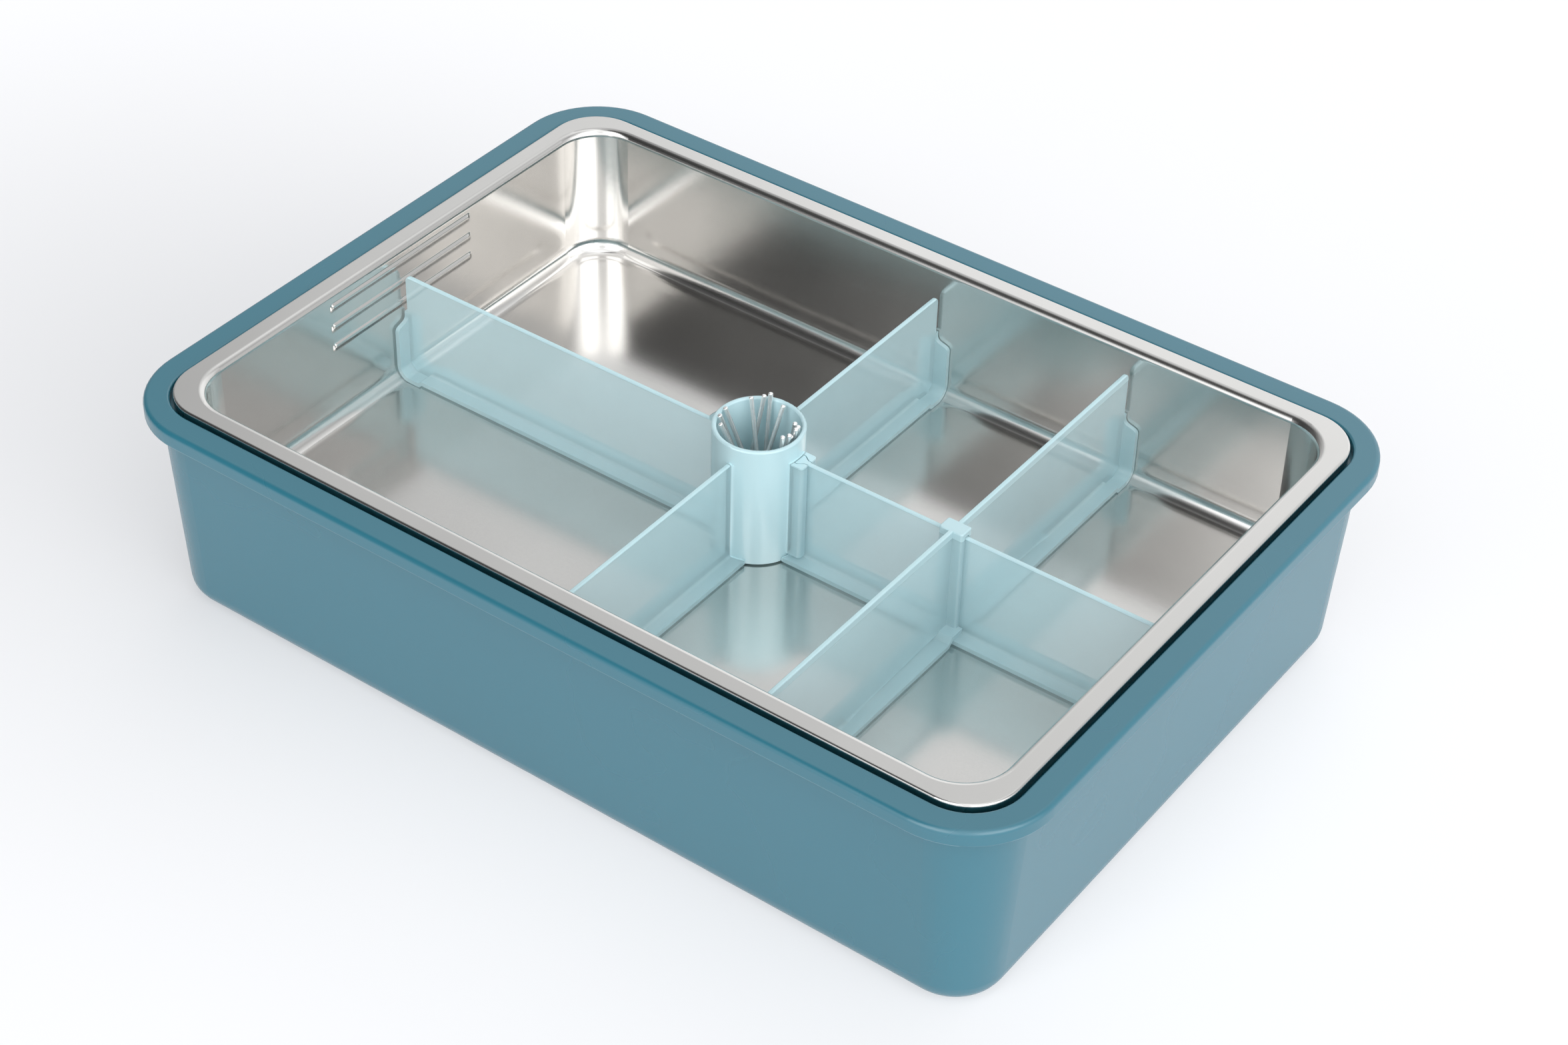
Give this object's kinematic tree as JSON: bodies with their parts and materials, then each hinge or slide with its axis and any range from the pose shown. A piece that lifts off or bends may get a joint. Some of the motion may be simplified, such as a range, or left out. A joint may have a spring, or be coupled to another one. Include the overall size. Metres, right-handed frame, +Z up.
{
  "type": "snack box",
  "caption": "Low rectangular tub with a hung steel pan, loose clear divider walls round a cup of short picks, and a cross wall that slides.",
  "frame": {"origin": "centre of the tub's base, on the surface it stands on", "axes": "+Z up, +X along the long side towards the end with the separate divider wall, +Y to the back"},
  "size_m": [0.426, 0.3044, 0.102],
  "materials": {
    "teal_plastic": "matte, finely textured",
    "steel": "satin",
    "clear_plastic": "clear, gloss",
    "pick_steel": "polished, knurled shafts"
  },
  "bodies": {
    "tub": {"tub": "teal_plastic"},
    "pan": {"pan": "steel"},
    "right_divider": {"right_divider": "clear_plastic"},
    "main_divider": {"main_divider": "clear_plastic"},
    "cross_divider": {"cross_divider": "clear_plastic"},
    "pick_01": {"pick_01": "pick_steel"},
    "pick_02": {"pick_02": "pick_steel"},
    "pick_03": {"pick_03": "pick_steel"},
    "pick_04": {"pick_04": "pick_steel"},
    "pick_05": {"pick_05": "pick_steel"},
    "pick_06": {"pick_06": "pick_steel"},
    "pick_07": {"pick_07": "pick_steel"},
    "pick_08": {"pick_08": "pick_steel"},
    "pick_09": {"pick_09": "pick_steel"},
    "pick_10": {"pick_10": "pick_steel"},
    "pick_11": {"pick_11": "pick_steel"},
    "pick_12": {"pick_12": "pick_steel"},
    "pick_13": {"pick_13": "pick_steel"}
  },
  "joints": [
    {"name": "pan_lift", "type": "slide", "parent": "tub", "child": "pan", "axis": [0, 0, 1], "range_m": [0, 0.075]},
    {"name": "right_divider_lift", "type": "slide", "parent": "pan", "child": "right_divider", "axis": [0, 0, 1], "range_m": [0, 0.07]},
    {"name": "main_divider_lift", "type": "slide", "parent": "right_divider", "child": "main_divider", "axis": [0, 0, 1], "range_m": [0, 0.07]},
    {"name": "cross_divider_slide", "type": "slide", "parent": "right_divider", "child": "cross_divider", "axis": [1, 0, 0], "range_m": [-0.061, 0.066]},
    {"name": "pick_01_draw", "type": "slide", "parent": "main_divider", "child": "pick_01", "axis": [-0.2386, 0.1358, 0.9616], "range_m": [0, 0.062]},
    {"name": "pick_02_draw", "type": "slide", "parent": "main_divider", "child": "pick_02", "axis": [0.0843, 0.1747, 0.981], "range_m": [0, 0.062]},
    {"name": "pick_03_draw", "type": "slide", "parent": "main_divider", "child": "pick_03", "axis": [-0.0455, 0.1627, 0.9856], "range_m": [0, 0.062]},
    {"name": "pick_04_draw", "type": "slide", "parent": "main_divider", "child": "pick_04", "axis": [0.0896, 0.337, 0.9373], "range_m": [0, 0.062]},
    {"name": "pick_05_draw", "type": "slide", "parent": "main_divider", "child": "pick_05", "axis": [-0.2993, -0.1479, 0.9426], "range_m": [0, 0.062]},
    {"name": "pick_06_draw", "type": "slide", "parent": "main_divider", "child": "pick_06", "axis": [-0.1563, -0.2726, 0.9493], "range_m": [0, 0.062]},
    {"name": "pick_07_draw", "type": "slide", "parent": "main_divider", "child": "pick_07", "axis": [-0.3451, -0.2096, 0.9149], "range_m": [0, 0.062]},
    {"name": "pick_08_draw", "type": "slide", "parent": "main_divider", "child": "pick_08", "axis": [0.2161, -0.1314, 0.9675], "range_m": [0, 0.062]},
    {"name": "pick_09_draw", "type": "slide", "parent": "main_divider", "child": "pick_09", "axis": [0.2541, 0.0094, 0.9671], "range_m": [0, 0.062]},
    {"name": "pick_10_draw", "type": "slide", "parent": "main_divider", "child": "pick_10", "axis": [0.2144, -0.0196, 0.9766], "range_m": [0, 0.062]},
    {"name": "pick_11_draw", "type": "slide", "parent": "main_divider", "child": "pick_11", "axis": [0.2223, -0.0118, 0.9749], "range_m": [0, 0.062]},
    {"name": "pick_12_draw", "type": "slide", "parent": "main_divider", "child": "pick_12", "axis": [0.3675, -0.0184, 0.9298], "range_m": [0, 0.062]},
    {"name": "pick_13_draw", "type": "slide", "parent": "main_divider", "child": "pick_13", "axis": [0.1416, -0.0619, 0.988], "range_m": [0, 0.062]}
  ]
}
